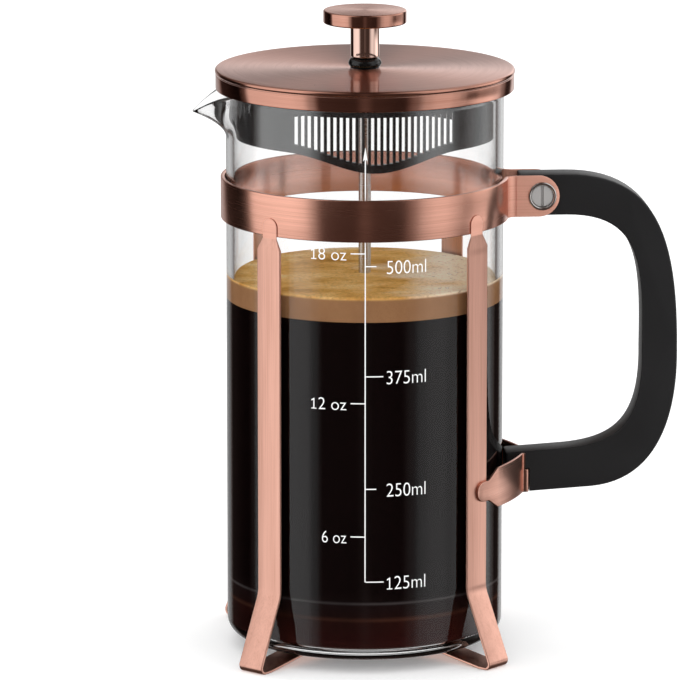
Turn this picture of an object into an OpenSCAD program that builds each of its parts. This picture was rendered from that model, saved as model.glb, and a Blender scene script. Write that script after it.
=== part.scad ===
// Glass coffee press: a beaker in a strip-metal frame, a lid with a pouring strainer, and a plunger.
// Millimetres, Z up. The table is z = 0, the beaker's axis is Z, the handle points to +X and the
// spout to -X. The plunger is drawn pressed down and the lid is drawn on.

/* [Beaker] */
// Outer diameter of the glass
beaker_d = 80.8; // [79:0.2:82]
// Thickness of the glass wall
beaker_wall = 2.2; // [1.8:0.1:2.6]
// Height of the beaker's rim above the table
rim_z = 165.5; // [160:0.5:172]
// Thickness of the beaker's floor
beaker_floor = 3; // [2.4:0.2:3.6]
// How far the spout's tip stands out from the beaker's axis
spout_reach = 50.6; // [48:0.2:52]

/* [Frame] */
// Height of the ring's lower edge above the table
ring_z = 127.6; // [110:0.1:130]
// Height of the ring band, and of the ears on it
ring_h = 12.1; // [10:0.1:13]
// Gap between the glass and the ring
ring_gap = 0.4; // [0.3:0.1:0.8]
// Thickness of the ring's metal
ring_t = 1.2; // [1:0.1:1.4]
// Width of a leg strip
leg_w = 8.6; // [7:0.2:10]
// Thickness of the leg strips and of the lower yoke
strip_t = 0.8; // [0.7:0.1:1.2]
// Height at which the legs start to spread
leg_kink_z = 22; // [18:0.5:26]
// Reach of the feet from the beaker's axis
foot_reach = 51.2; // [50:0.2:53]

/* [Handle] */
// Thickness of the handle, front to back
handle_t = 9.5; // [8.5:0.5:10.5]
// Reach of the handle beyond the glass
handle_reach = 51.2; // [48:0.1:54]
// Middle height of the lower yoke
yoke_z = 51.1; // [50:0.1:53]
// Height of the yoke's band
yoke_h = 11.7; // [11:0.1:12]

/* [Lid] */
// Diameter of the lid
lid_d = 87.2; // [86:0.2:90]
// Height of the lid's rim
lid_h = 5.5; // [5:0.1:6.5]
// Depth of the strainer's skirt below the beaker's rim
skirt_drop = 13.6; // [12:0.2:15]
// How much further the pouring tongue reaches down
tongue_dip = 5; // [4:0.5:6.5]
// Number of slots in the tongue
slots = 26; // [20:2:28]

/* [Plunger] */
// Diameter of the rod
rod_d = 3.6; // [3:0.2:4]
// Diameter of the knob's disc
knob_d = 24.2; // [20:0.2:28]
// Thickness of the knob's disc
knob_t = 3.8; // [2.8:0.2:4.2]
// Height of the filter's rim coil above the beaker's floor
filter_lift = 12.7; // [12.5:0.1:15]

/* [Hidden] */
$fn = 96;

COPPER = [0.74, 0.50, 0.42];
POLISHED_COPPER = [0.82, 0.56, 0.47];
BLACK = [0.09, 0.09, 0.09];
STEEL = [0.68, 0.69, 0.70];
GLASS = [0.80, 0.90, 0.92, 0.35];

eps = 0.5;              // how far a cutter runs past the metal it cuts
loose_gap = 0.3;        // air between pieces that move past each other
running_gap = 0.05;     // radial clearance of a running fit

// Beaker
beaker_r = beaker_d / 2;
bore_r = beaker_r - beaker_wall;
strip_top_z = 3;                        // top of the strips that carry the beaker
beaker_z = strip_top_z + loose_gap;
floor_z = beaker_z + beaker_floor;
corner_r = 5;
inner_corner_r = 4.5;
punt_h = 1;                             // hollow under the beaker's floor
punt_r = 26;
punt_slope = 3;
spout_half_angle = 22;
spout_tip_z = rim_z - 6.3;
spout_root_z = rim_z - 14.2;

// Ring, ears and legs
ring_r0 = beaker_r + ring_gap;
ring_r1 = ring_r0 + ring_t;
ring_mid_r = (ring_r0 + ring_r1) / 2;
ring_mid_z = ring_z + ring_h / 2;
ear_y0 = handle_t / 2;
ear_y1 = ear_y0 + ring_t;
ear_y = (ear_y0 + ear_y1) / 2;
flare_r = 3;                            // reverse bend from the ring into an ear
flare_y = ear_y + flare_r;
flare_x = sqrt(pow(ring_mid_r + flare_r, 2) - flare_y * flare_y);
open_a = asin(flare_y / (ring_mid_r + flare_r));
ear_lap = 0.2;                          // how far an ear's flat runs back into its bend
screw_x = beaker_r + 11;
ear_end_back = 1;                       // how far the ear's round end is centred behind the screw
crease_w = 0.5;
crease_depth = 0.25;
leg_r0 = ring_r1;
leg_r1 = leg_r0 + strip_t;
leg_mid_r = (leg_r0 + leg_r1) / 2;
leg_top_z = ring_z + 5.2;
tab_w = 5.2;
tab_shoulder_h = 3.3;
fold_r = 1.5;                           // middle of the strip where a foot folds under
foot_flat = 2.2;
bar_flat_r = 33;                        // inside this the strips run level under the beaker
joggle_r = 6.5;
joggle_run = 1.5;
rivet_r = 1.5;
rivet_head_r = 2.8;
rivet_head_h = 0.7;

// Lower yoke
yoke_r = leg_r1 + strip_t / 2;          // middle of the tabs that lie on the legs
yoke_tab_h = 5.9;
yoke_tab_x = 2.3;                       // middle of a tab's round end, from the middle of its leg
yoke_shoulder = 5;
yoke_start_a = 51;                      // heading of the band as it leaves a leg
yoke_end_a = 71;                        // heading as it meets the handle
yoke_y = handle_t / 2 + strip_t / 2;
yoke_start = yoke_r * [cos(-45), sin(-45)] + (leg_w / 2 + 0.2) * [cos(45), sin(45)];
yoke_bend_r = (-yoke_y - yoke_start.y) / (cos(yoke_start_a) - cos(yoke_end_a));
yoke_centre = yoke_start + yoke_bend_r * [-sin(yoke_start_a), cos(yoke_start_a)];
yoke_end_x = yoke_centre.x + yoke_bend_r * sin(yoke_end_a);
yoke_cross_x = yoke_end_x + 1.6;
yoke_cross_h = 6.8;
hook_gap = 0.2;                         // air round the yoke inside the handle's notch

// Handle, given as distances beyond the glass
handle_x1 = beaker_r + handle_reach;
handle_top_z = ring_z + ring_h;
handle_mid_z = 87;
arm_upper_x = beaker_r + 4.6;
arm_lower_x = beaker_r + 1;
arm_t = 10.4;                           // depth of the handle's grip, outside to inside
screw_head_r = 3.3;
screw_r = 1.5;
barrel_r = 2;
cup_r = 3.9;
cup_base_t = 0.4;
cup_depth = 1.2;
head_y = ear_y1 - 0.35;
slot_w = 0.8;
slot_depth = 1;

// Lid
lid_r = lid_d / 2;
lid_z0 = rim_z + loose_gap;
lid_z1 = lid_z0 + lid_h;
cap_t = 1;
bead_r = 0.7;
skirt_r1 = bore_r - 0.8;
skirt_r0 = skirt_r1 - 1.8;
skirt_z = rim_z - skirt_drop;
strainer_top_t = 1.5;
strainer_z1 = lid_z1 - cap_t;
tongue_half_w = skirt_r1 * sin(41);
slot_pitch = 1.74;
strainer_slot_w = 0.95;
slot_top_z = rim_z - 2.5;
slot_margin = 2.4;
neck_r = 3.35;
grommet_r = 4.8;
grommet_h = 2.9;
flange_gap = 0.2;
retainer_t = 1.3;
grommet_top_z = lid_z1 + flange_gap + grommet_h;

// Plunger
rod_r = rod_d / 2;
stem_r = 4.2;
stem_z = grommet_top_z + flange_gap;
stem_h = 9.9;
knob_z = stem_z + stem_h;
coil_z = floor_z + filter_lift;
coil_r = 2.2;
coil_mid_r = bore_r - loose_gap - coil_r;
plate_t = 0.7;
mesh_t = 0.4;
cross_t = 0.9;
plate_z = coil_z - plate_t / 2;
plate_r = coil_mid_r - coil_r;
mesh_r = bore_r - 1;
mesh_flat_r = plate_r - 2.1;
mesh_drop = 2.1;
cross_z = plate_z - 2 * mesh_t - cross_t;
cross_r = mesh_flat_r - 0.4;
cross_lip_h = 1.4;
collar_r = 4.5;
collar_h = 4.6;
nut_across = 9;
nut_h = 3.6;
rod_end_z = cross_z - nut_h - 0.2;

function arc(c, r, a0, a1, n = 8) =
    [for (i = [0:n]) let (a = a0 + (a1 - a0) * i / n) c + r * [cos(a), sin(a)]];

function bezier(p, n = 12) =
    [for (i = [0:n]) let (t = i / n, s = 1 - t)
        s * s * s * p[0] + 3 * s * s * t * p[1] + 3 * s * t * t * p[2] + t * t * t * p[3]];

// Lowest edge of the strainer's skirt at a distance x from the tongue's middle.
function tongue_z(x) =
    abs(x) >= tongue_half_w ? skirt_z : skirt_z - tongue_dip * (1 + cos(180 * x / tongue_half_w)) / 2;

// Strip of metal seen on its edge, with its middle through the points.
module bent_line(points, t) {
    for (i = [0:len(points) - 2]) {
        run = points[i + 1] - points[i];
        translate(points[i])
            rotate(atan2(run.y, run.x))
                translate([0, -t / 2])
                    square([norm(run), t]);
    }
    for (i = [1:len(points) - 2])
        translate(points[i])
            circle(d = t, $fn = 24);
}

module tube(r0, r1, z0, z1) {
    translate([0, 0, z0])
        difference() {
            cylinder(h = z1 - z0, r = r1);
            translate([0, 0, -eps])
                cylinder(h = z1 - z0 + 2 * eps, r = r0);
        }
}

// Cylinder along Y between two places on it.
module y_cylinder(x, z, r, y0, y1) {
    translate([x, y1, z])
        rotate([90, 0, 0])
            cylinder(h = y1 - y0, r = r);
}

// Ring with its two ends flared out, seen from above.
module ring_plan() {
    difference() {
        circle(ring_r1);
        circle(ring_r0);
        polygon([[0, 0], 60 * [cos(open_a), sin(open_a)], 60 * [cos(open_a), -sin(open_a)]]);
    }
    for (back = [0, 1])
        mirror([0, back])
            intersection() {
                translate([flare_x, -flare_y])
                    difference() {
                        circle(flare_r + ring_t / 2);
                        circle(flare_r - ring_t / 2);
                    }
                translate([flare_x, -flare_y])
                    polygon([[0, 0], [0, 9], [-9, 9], 9 * [-cos(open_a), sin(open_a)]]);
            }
}

// Round-ended plate that clamps one side of the handle.
module ear() {
    translate([0, ear_y1, 0])
        rotate([90, 0, 0])
            linear_extrude(ring_t) {
                translate([flare_x - ear_lap, ring_z])
                    square([screw_x - ear_end_back - flare_x + ear_lap, ring_h]);
                translate([screw_x - ear_end_back, ring_mid_z])
                    circle(ring_h / 2);
            }
}

module ring_band() {
    color(COPPER)
        difference() {
            union() {
                translate([0, 0, ring_z])
                    linear_extrude(ring_h)
                        ring_plan();
                for (back = [0, 1])
                    mirror([0, back, 0])
                        ear();
            }
            y_cylinder(screw_x, ring_mid_z, cup_r, -ear_y1 - eps, ear_y1 + eps);
            for (back = [0, 1])
                mirror([0, back, 0])
                    translate([flare_x - crease_w / 2, ear_y1 - crease_depth, ring_z - eps])
                        cube([crease_w, 1, ring_h + 2 * eps]);
        }
}

// Half of a leg strip on its edge, from the middle under the beaker out to the foot and up.
function leg_half(dip) = concat(
    dip == 0 ? [[0, strip_top_z - strip_t / 2]]
             : [[0, strip_top_z - strip_t / 2 - dip],
                [joggle_r, strip_top_z - strip_t / 2 - dip],
                [joggle_r + joggle_run, strip_top_z - strip_t / 2]],
    [[bar_flat_r, strip_top_z - strip_t / 2],
     [foot_reach - strip_t / 2 - fold_r - foot_flat, strip_t / 2]],
    arc([foot_reach - strip_t / 2 - fold_r, strip_t / 2 + fold_r], fold_r, -90, 22, 6),
    [[leg_mid_r, leg_kink_z], [leg_mid_r, leg_top_z]]);

// Face of a leg: full width below, and a narrow round-ended tab on the ring.
module leg_face() {
    shoulder_z = ring_z - 0.6;
    translate([-leg_w / 2, 0])
        square([leg_w, shoulder_z - tab_shoulder_h]);
    polygon([[-leg_w / 2, shoulder_z - tab_shoulder_h], [leg_w / 2, shoulder_z - tab_shoulder_h],
             [tab_w / 2, shoulder_z], [-tab_w / 2, shoulder_z]]);
    translate([-tab_w / 2, shoulder_z])
        square([tab_w, leg_top_z - tab_w / 2 - shoulder_z]);
    translate([0, leg_top_z - tab_w / 2])
        circle(tab_w / 2);
}

module leg_strip(turn, dip) {
    rotate([0, 0, turn])
        difference() {
            intersection() {
                translate([0, leg_w / 2, 0])
                    rotate([90, 0, 0])
                        linear_extrude(leg_w)
                            for (other = [0, 1])
                                mirror([other, 0])
                                    bent_line(leg_half(dip), strip_t);
                translate([-foot_reach - eps, 0, 0])
                    rotate([90, 0, 90])
                        linear_extrude(2 * (foot_reach + eps))
                            leg_face();
            }
            translate([0, 0, -eps])
                cylinder(h = strip_top_z + 2 * eps, r = rivet_r);
        }
}

module leg_strip_a() {
    color(COPPER) leg_strip(45, 0);
}

module leg_strip_b() {
    color(COPPER) leg_strip(135, strip_t);
}

module strip_rivet() {
    z0 = strip_top_z - 2 * strip_t;
    color(STEEL) {
        translate([0, 0, z0 - rivet_head_h])
            cylinder(h = rivet_head_h, r = rivet_head_r);
        translate([0, 0, z0])
            cylinder(h = 2 * strip_t, r = rivet_r);
        translate([0, 0, strip_top_z])
            cylinder(h = rivet_head_h, r1 = rivet_head_r, r2 = rivet_head_r - 0.6);
    }
}

// Front half of the yoke's band from above: leg to handle, then a short flat on the handle.
module yoke_plan() {
    tab_start = yoke_r * [cos(-45), sin(-45)] + yoke_tab_x * [cos(45), sin(45)];
    bent_line(concat([tab_start],
        arc(yoke_centre, yoke_bend_r, yoke_start_a - 90, yoke_end_a - 90, 10),
        [[yoke_cross_x, -yoke_y]]), strip_t);
}

// Cutter that leaves only a narrow tab where the yoke's band starts on its leg.
module yoke_shoulders() {
    edge = leg_w / 2 + 0.2;
    rotate([0, 0, -45])
        translate([yoke_r - 4, 0, yoke_z])
            rotate([90, 0, 90])
                linear_extrude(8)
                    for (low = [0, 1])
                        mirror([0, low])
                            polygon([[-10, yoke_tab_h / 2], [edge, yoke_tab_h / 2],
                                     [edge + yoke_shoulder, yoke_h / 2 + 0.1], [-10, yoke_h / 2 + 0.1]]);
}

module handle_yoke() {
    color(COPPER) {
        for (back = [0, 1])
            mirror([0, back, 0]) {
                difference() {
                    translate([0, 0, yoke_z - yoke_h / 2])
                        linear_extrude(yoke_h)
                            yoke_plan();
                    yoke_shoulders();
                }
                rotate([0, 0, -45])
                    translate([leg_r1, yoke_tab_x, yoke_z])
                        rotate([0, 90, 0])
                            cylinder(h = strip_t, r = yoke_tab_h / 2);
            }
        translate([yoke_cross_x - strip_t / 2, -yoke_y - strip_t / 2, yoke_z - yoke_h / 2])
            cube([strip_t, 2 * yoke_y + strip_t, yoke_cross_h]);
    }
}

// Side of the handle: one curve for each quarter of the grip, outside and inside.
function handle_outline() =
    let (x1 = handle_x1, x0 = handle_x1 - arm_t, top = handle_top_z, low = yoke_z - yoke_h / 2)
    concat(
        [[arm_upper_x, top]],
        bezier([[x1 - 33, top], [x1 - 7, top], [x1, top - 17.5], [x1, handle_mid_z]]),
        bezier([[x1, handle_mid_z], [x1 + 0.3, 68], [x1 - 5, low + 2.8], [x1 - 25, low + 1.2]]),
        [[arm_lower_x, low - 0.4], [arm_lower_x, low + 11.7]],
        bezier([[x0 - 24, low + 12.7], [x0 - 7, low + 13.7], [x0 + 0.5, low + 19.5], [x0, handle_mid_z]]),
        bezier([[x0, handle_mid_z], [x0 + 0.2, 111], [x0 + 0.4, ring_z + 0.2], [x0 - 22.6, ring_z + 0.2]]),
        [[arm_upper_x, ring_z + 0.2]]);

module handle() {
    notch_w = strip_t + 2 * hook_gap;
    color(BLACK)
        difference() {
            translate([0, handle_t / 2, 0])
                rotate([90, 0, 0])
                    linear_extrude(handle_t)
                        polygon(handle_outline());
            y_cylinder(screw_x, ring_mid_z, barrel_r, -handle_t, handle_t);
            y_cylinder(screw_x, ring_mid_z, cup_r, -handle_t, -handle_t / 2 + cup_depth);
            y_cylinder(screw_x, ring_mid_z, cup_r, handle_t / 2 - cup_depth, handle_t);
            translate([yoke_cross_x - notch_w / 2, -handle_t, yoke_z - yoke_h])
                cube([notch_w, 2 * handle_t, yoke_h / 2 + yoke_cross_h + hook_gap]);
        }
}

// Cup washers let into the handle's faces through the ears.
module screw_cups() {
    base_y = handle_t / 2 - cup_depth;
    color(STEEL)
        for (back = [0, 1])
            mirror([0, back, 0])
                difference() {
                    y_cylinder(screw_x, ring_mid_z, cup_r, base_y, ear_y1 - 0.1);
                    y_cylinder(screw_x, ring_mid_z, barrel_r, 0, ear_y1 + eps);
                    y_cylinder(screw_x, ring_mid_z, screw_head_r, base_y + cup_base_t, ear_y1 + eps);
                }
}

// Slotted head that sits in a cup washer on the +Y side.
module slotted_head() {
    difference() {
        y_cylinder(screw_x, ring_mid_z, screw_head_r, handle_t / 2 - cup_depth + cup_base_t, head_y);
        translate([screw_x - slot_w / 2, head_y - slot_depth, ring_mid_z - 5])
            cube([slot_w, 2, 10]);
    }
}

module handle_screw() {
    color(STEEL) {
        mirror([0, 1, 0])
            slotted_head();
        y_cylinder(screw_x, ring_mid_z, screw_r, cup_depth - cup_base_t - handle_t / 2, 1);
    }
}

module barrel_nut() {
    color(STEEL) {
        slotted_head();
        difference() {
            y_cylinder(screw_x, ring_mid_z, barrel_r, -2.5, handle_t / 2 - cup_depth + cup_base_t);
            y_cylinder(screw_x, ring_mid_z, screw_r, -3, 1.5);
        }
    }
}

// Half section of the beaker, without its spout.
function beaker_section() =
    let (r = beaker_wall / 2)
    concat(
        [[0, beaker_z + punt_h], [punt_r - punt_slope, beaker_z + punt_h], [punt_r, beaker_z]],
        arc([beaker_r - corner_r, beaker_z + corner_r], corner_r, -90, 0),
        arc([beaker_r - r, rim_z - r], r, 0, 180),
        arc([bore_r - inner_corner_r, floor_z + inner_corner_r], inner_corner_r, 0, -90),
        [[0, floor_z]]);

// Space under one skin of the spout: a tip, a root on the wall and the two ends on the rim.
module spout_form(inset, top_z) {
    $fn = 24;
    wall_r = beaker_r - beaker_wall / 2 - inset;
    tip_r = 2.2 - inset;
    hull() {
        translate([tip_r - spout_reach + inset, 0, spout_tip_z - 1.6 + inset])
            cylinder(h = top_z - spout_tip_z + 1.6 - inset, r = tip_r);
        translate([-wall_r, 0, spout_root_z + inset])
            cylinder(h = 1, r = beaker_wall / 2);
        for (side = [-1, 1])
            rotate([0, 0, side * (spout_half_angle - 2 * inset)])
                translate([-wall_r, 0, rim_z - 4])
                    cylinder(h = top_z == spout_tip_z ? 4 : top_z - rim_z + 4, r = beaker_wall / 2);
    }
}

module glass_beaker() {
    color(GLASS)
        difference() {
            union() {
                rotate_extrude()
                    polygon(beaker_section());
                difference() {
                    spout_form(0, spout_tip_z);
                    translate([0, 0, rim_z - 30])
                        cylinder(h = 31, r = beaker_r - beaker_wall / 2);
                }
            }
            spout_form(1.6, rim_z + 12);
        }
}

module lid_grommet() {
    z1 = lid_z1 + flange_gap;
    color(BLACK)
        rotate_extrude()
            polygon(concat(
                [[rod_r + running_gap, strainer_z1 - strainer_top_t - flange_gap],
                 [neck_r, strainer_z1 - strainer_top_t - flange_gap], [neck_r, z1]],
                [[grommet_r - 0.3, z1]],
                arc([grommet_r - 1, z1 + 1], 1, -30, 0, 3),
                arc([grommet_r - 1.6, grommet_top_z - 1.6], 1.6, 0, 90, 8),
                [[rod_r + running_gap, grommet_top_z]]));
}

module grommet_retainer() {
    z1 = strainer_z1 - strainer_top_t - flange_gap;
    color(BLACK)
        tube(rod_r + running_gap, grommet_r, z1 - retainer_t, z1);
}

// Half section of the lid's cap: a flat top with a small bead round its edge, and a plain rim.
function cap_section() =
    let (r = lid_r - 0.2, groove_z = lid_z1 - 2 * bead_r, r_hole = neck_r + running_gap)
    concat(
        [[r_hole, lid_z1 - cap_t], [r - cap_t, lid_z1 - cap_t], [r - cap_t, rim_z], [r - 0.2, rim_z],
         [r, rim_z + 0.2], [r, groove_z - 0.25], [r - 0.3, groove_z - 0.25], [r - 0.3, groove_z]],
        arc([lid_r - bead_r, lid_z1 - bead_r], bead_r, -90, 90, 8),
        [[r_hole, lid_z1]]);

module lid_cap() {
    color(COPPER)
        rotate_extrude()
            polygon(cap_section());
}

// The skirt's lowest edge dips into a tongue at the front, where slots are cut straight through along Y.
module lid_strainer() {
    r_out = lid_r - 0.2 - cap_t;
    color(BLACK)
        difference() {
            union() {
                tube(skirt_r0, skirt_r1, skirt_z, lid_z0);
                tube(skirt_r0, r_out, lid_z0, strainer_z1);
                tube(neck_r + running_gap, skirt_r0 + eps, strainer_z1 - strainer_top_t, strainer_z1);
                intersection() {
                    tube(skirt_r0, skirt_r1, skirt_z - tongue_dip - 1, skirt_z + 1);
                    rotate([90, 0, 0])
                        linear_extrude(skirt_r1 + 1)
                            polygon(concat(
                                [[-tongue_half_w, skirt_z + 1]],
                                [for (i = [-12:12])
                                    let (x = tongue_half_w * i / 12) [x, tongue_z(x)]],
                                [[tongue_half_w, skirt_z + 1]]));
                }
            }
            for (i = [0:slots - 1]) {
                x = (i - (slots - 1) / 2) * slot_pitch;
                z0 = tongue_z(x) + slot_margin;
                translate([x - strainer_slot_w / 2, -skirt_r1 - eps, z0])
                    cube([strainer_slot_w, skirt_r1 / 2, slot_top_z - z0]);
            }
        }
}

module knob_disc() {
    r = knob_d / 2;
    chamfer = 0.4;
    color(COPPER)
        translate([0, 0, knob_z])
            rotate_extrude()
                polygon([[0, 0], [r - chamfer, 0], [r, chamfer], [r, knob_t - chamfer],
                         [r - chamfer, knob_t], [0, knob_t]]);
}

module knob_stem() {
    color(POLISHED_COPPER)
        difference() {
            translate([0, 0, stem_z])
                cylinder(h = stem_h, r = stem_r);
            translate([0, 0, stem_z - eps])
                cylinder(h = stem_h - 2 + eps, r = rod_r);
        }
}

module plunger_rod() {
    color(STEEL)
        translate([0, 0, rod_end_z])
            cylinder(h = stem_z + stem_h - 2 - rod_end_z, r = rod_r);
}

module rod_collar() {
    z0 = plate_z + plate_t;
    color(STEEL)
        rotate_extrude()
            polygon([[rod_r, z0], [collar_r, z0], [collar_r, z0 + 2],
                     [rod_r + 1, z0 + collar_h], [rod_r, z0 + collar_h]]);
}

// Round hole stretched around the plate, cut as two circles and the space between them.
module oval_hole(r, stretch, t) {
    for (side = [-1, 1])
        translate([0, side * stretch, 0])
            cylinder(h = t, r = r, $fn = 32);
    translate([-r, -stretch, 0])
        cube([2 * r, 2 * stretch, t]);
}

// Perforated plate that carries the rim coil.
module spring_plate() {
    color(STEEL)
        difference() {
            tube(rod_r, plate_r, plate_z, plate_z + plate_t);
            for (turn = [0:45:315])
                rotate([0, 0, turn + 22.5])
                    translate([25, 0, plate_z - eps])
                        oval_hole(3.2, 3.4, plate_t + 2 * eps);
            for (turn = [0:45:315])
                rotate([0, 0, turn])
                    translate([14, 0, plate_z - eps])
                        oval_hole(2, 1.6, plate_t + 2 * eps);
        }
}

// Coiled wire round the plate's edge, drawn as the ring that its turns fill.
module rim_coil() {
    color(STEEL)
        translate([0, 0, coil_z])
            rotate_extrude()
                translate([coil_mid_r, 0])
                    circle(coil_r, $fn = 48);
}

// Half section of a woven screen: flat under the plate, then dished down below the coil.
module mesh_screen(level) {
    z1 = plate_z - level * mesh_t;
    edge = mesh_r - 1.6;
    color(STEEL)
        rotate_extrude()
            polygon([[rod_r, z1], [mesh_flat_r, z1], [edge, z1 - mesh_drop], [mesh_r, z1 - mesh_drop],
                     [mesh_r, z1 - mesh_drop - mesh_t], [edge, z1 - mesh_drop - mesh_t],
                     [mesh_flat_r, z1 - mesh_t], [rod_r, z1 - mesh_t]]);
}

module mesh_screen_upper() {
    mesh_screen(0);
}

module mesh_screen_lower() {
    mesh_screen(1);
}

// Window of the cross plate, between two arms.
module cross_window() {
    r0 = 11;
    r1 = 25.5;
    corner = 1.8;
    half_a = 18;
    points = concat(arc([0, 0], r0 + corner, half_a - 4, 4 - half_a, 2),
                    arc([0, 0], r1 - corner, 2.5 - half_a, half_a - 2.5, 4));
    translate([0, 0, cross_z - eps])
        linear_extrude(cross_t + 2 * eps)
            offset(r = corner, $fn = 24)
                polygon(points);
}

module cross_plate() {
    color(STEEL)
        difference() {
            union() {
                tube(rod_r, cross_r, cross_z, cross_z + cross_t);
                tube(cross_r - cross_t, cross_r, cross_z - cross_lip_h, cross_z);
            }
            for (turn = [45:90:315])
                rotate([0, 0, turn])
                    cross_window();
        }
}

module hub_nut() {
    color(STEEL)
        difference() {
            translate([0, 0, cross_z - nut_h])
                cylinder(h = nut_h, d = nut_across / cos(30), $fn = 6);
            translate([0, 0, cross_z - nut_h - eps])
                cylinder(h = nut_h + 2 * eps, r = rod_r);
        }
}

ring_band();
leg_strip_a();
leg_strip_b();
strip_rivet();
handle_yoke();
handle();
screw_cups();
handle_screw();
barrel_nut();
glass_beaker();
lid_grommet();
grommet_retainer();
lid_cap();
lid_strainer();
knob_disc();
knob_stem();
plunger_rod();
rod_collar();
spring_plate();
rim_coil();
mesh_screen_upper();
mesh_screen_lower();
cross_plate();
hub_nut();
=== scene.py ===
"""Looks of a glass coffee press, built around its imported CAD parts.

Lengths inside the builders are in millimetres, as in the CAD source. raw_object() turns them into metres.
Z is up, the handle points to +X, the spout to -X, and the measuring marks face the camera.
A "shape" is a pair of vertices and faces.
"""

import math

import bmesh
import bpy
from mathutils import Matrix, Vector, noise


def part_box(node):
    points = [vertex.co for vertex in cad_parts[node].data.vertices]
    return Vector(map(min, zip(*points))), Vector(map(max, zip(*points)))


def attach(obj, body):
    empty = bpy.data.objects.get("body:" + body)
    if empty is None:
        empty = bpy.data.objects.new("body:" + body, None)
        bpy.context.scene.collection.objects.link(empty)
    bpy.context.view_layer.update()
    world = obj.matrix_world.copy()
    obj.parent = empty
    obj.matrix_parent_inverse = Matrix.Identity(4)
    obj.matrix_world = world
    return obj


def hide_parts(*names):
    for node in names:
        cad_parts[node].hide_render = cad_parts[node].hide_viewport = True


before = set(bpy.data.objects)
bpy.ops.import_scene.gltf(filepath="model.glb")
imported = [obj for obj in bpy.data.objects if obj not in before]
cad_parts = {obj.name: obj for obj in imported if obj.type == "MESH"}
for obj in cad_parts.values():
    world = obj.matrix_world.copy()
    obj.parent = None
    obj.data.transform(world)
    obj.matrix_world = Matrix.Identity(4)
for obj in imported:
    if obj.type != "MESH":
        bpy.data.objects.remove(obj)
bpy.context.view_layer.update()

MM = 0.001


# ---- sizes, from the frame

def box_mm(node):
    low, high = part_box(node)
    return low / MM, high / MM


glass_low, glass_high = box_mm("glass_beaker")
GLASS_R = glass_high.x
GLASS_WALL = 2.2
GLASS_FLOOR = 3
BORE_R = GLASS_R - GLASS_WALL
GLASS_Z = glass_low.z
RIM_Z = glass_high.z
FLOOR_Z = GLASS_Z + GLASS_FLOOR
SPOUT_REACH = -glass_low.x
SPOUT_HALF_ANGLE = math.radians(22)
SPOUT_DROP = 6.3
SPOUT_DEPTH = 14.2

ring_low, ring_high = box_mm("ring_band")
RING_Z = ring_low.z
RING_H = ring_high.z - ring_low.z
RING_T = 1.2
RING_R = -ring_low.x - RING_T / 2
handle_high = box_mm("handle")[1]
EAR_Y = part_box("handle")[1].y / MM + RING_T / 2
EAR_END_X = ring_high.x - RING_H / 2
FLARE_R = 3
screw_low, screw_high = box_mm("handle_screw")
SCREW_X = (screw_low.x + screw_high.x) / 2
SCREW_Z = RING_Z + RING_H / 2
CUP_R = 3.9             # of the holes that the cup washers sit in
CUP_SEAT = 3.55         # from the handle's middle out to their floors

STRIP_T = 0.8
STRIP_EDGE = 0.22
LEG_R = -ring_low.x + STRIP_T / 2
LEG_W = 8.6
LEG_KINK_Z = 22
LEG_KINK_R = 9
LEG_TOP_Z = RING_Z + 5.2
FOOT_REACH = 51.2
FOOT_FOLD_R = 1.5
FOOT_FOLD_ANGLE = 22.6
BAR_Z = 3 - STRIP_T / 2
TAB_W = 5.2
TAB_T = 0.3             # what stands off the ring
TAPER_H = 3.3

yoke_low, yoke_high = box_mm("handle_yoke")
YOKE_EDGE = 0.2
YOKE_TAB_H = 2.95       # half the height of its rounded end
YOKE_LAP = 0.65         # how far the end reaches past the leg's middle line
YOKE_GAP = 0.2          # from the leg's edge to the yoke's bend

lid_low, lid_high = box_mm("lid_cap")
LID_R = lid_high.x
LID_Z0 = lid_low.z
LID_Z1 = lid_high.z
ROD_HOLE_R = 1.85

CREMA_TOP = 111
CREMA_BOTTOM = 103.7
CREMA_EDGE = 0.5
COFFEE_R = BORE_R + 0.12

CAMERA_AZIMUTH = math.radians(-4.54)
CAMERA_ELEVATION = math.radians(11.83)
CAMERA_DISTANCE = 1.8775
CAMERA_LENS = 339.6
TARGET_SIDE = -0.007215
TARGET_Z = 0.09054
MARK_AZIMUTH = CAMERA_AZIMUTH - math.pi / 2


# ---- outlines

def arc(cx, cy, r, a0, a1, n=8):
    """Points of an arc, angles in degrees."""
    points = []
    for i in range(n + 1):
        a = math.radians(a0 + (a1 - a0) * i / n)
        points.append((cx + r * math.cos(a), cy + r * math.sin(a)))
    return points


def bezier(p0, p1, p2, p3, n=24):
    points = []
    for i in range(n + 1):
        t = i / n
        s = 1 - t
        k = (s * s * s, 3 * s * s * t, 3 * s * t * t, t * t * t)
        points.append(tuple(sum(w * p[c] for w, p in zip(k, (p0, p1, p2, p3))) for c in (0, 1)))
    return points


def rounded(points, radii, n=6, closed=True):
    """The outline with each corner replaced by an arc of its radius. A radius of 0 keeps the corner."""
    out = []
    count = len(points)
    for i, (p, r) in enumerate(zip(points, radii)):
        if r == 0 or (not closed and i in (0, count - 1)):
            out.append(tuple(p))
            continue
        p = Vector(p)
        a = Vector(points[i - 1]) - p
        b = Vector(points[(i + 1) % count]) - p
        half = a.angle(b) / 2
        reach = min(r / math.tan(half), a.length * 0.49, b.length * 0.49)
        r = reach * math.tan(half)
        centre = p + (a.normalized() + b.normalized()).normalized() * (r / math.sin(half))
        start = p + a.normalized() * reach - centre
        end = p + b.normalized() * reach - centre
        turn = start.angle_signed(end)
        for k in range(n + 1):
            a_k = -turn * k / n
            c, s = math.cos(a_k), math.sin(a_k)
            out.append((centre.x + c * start.x - s * start.y, centre.y + s * start.x + c * start.y))
    return out


def way(a, b):
    """The vector from a to b in their plane."""
    return Vector((b[0] - a[0], b[1] - a[1]))


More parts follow.
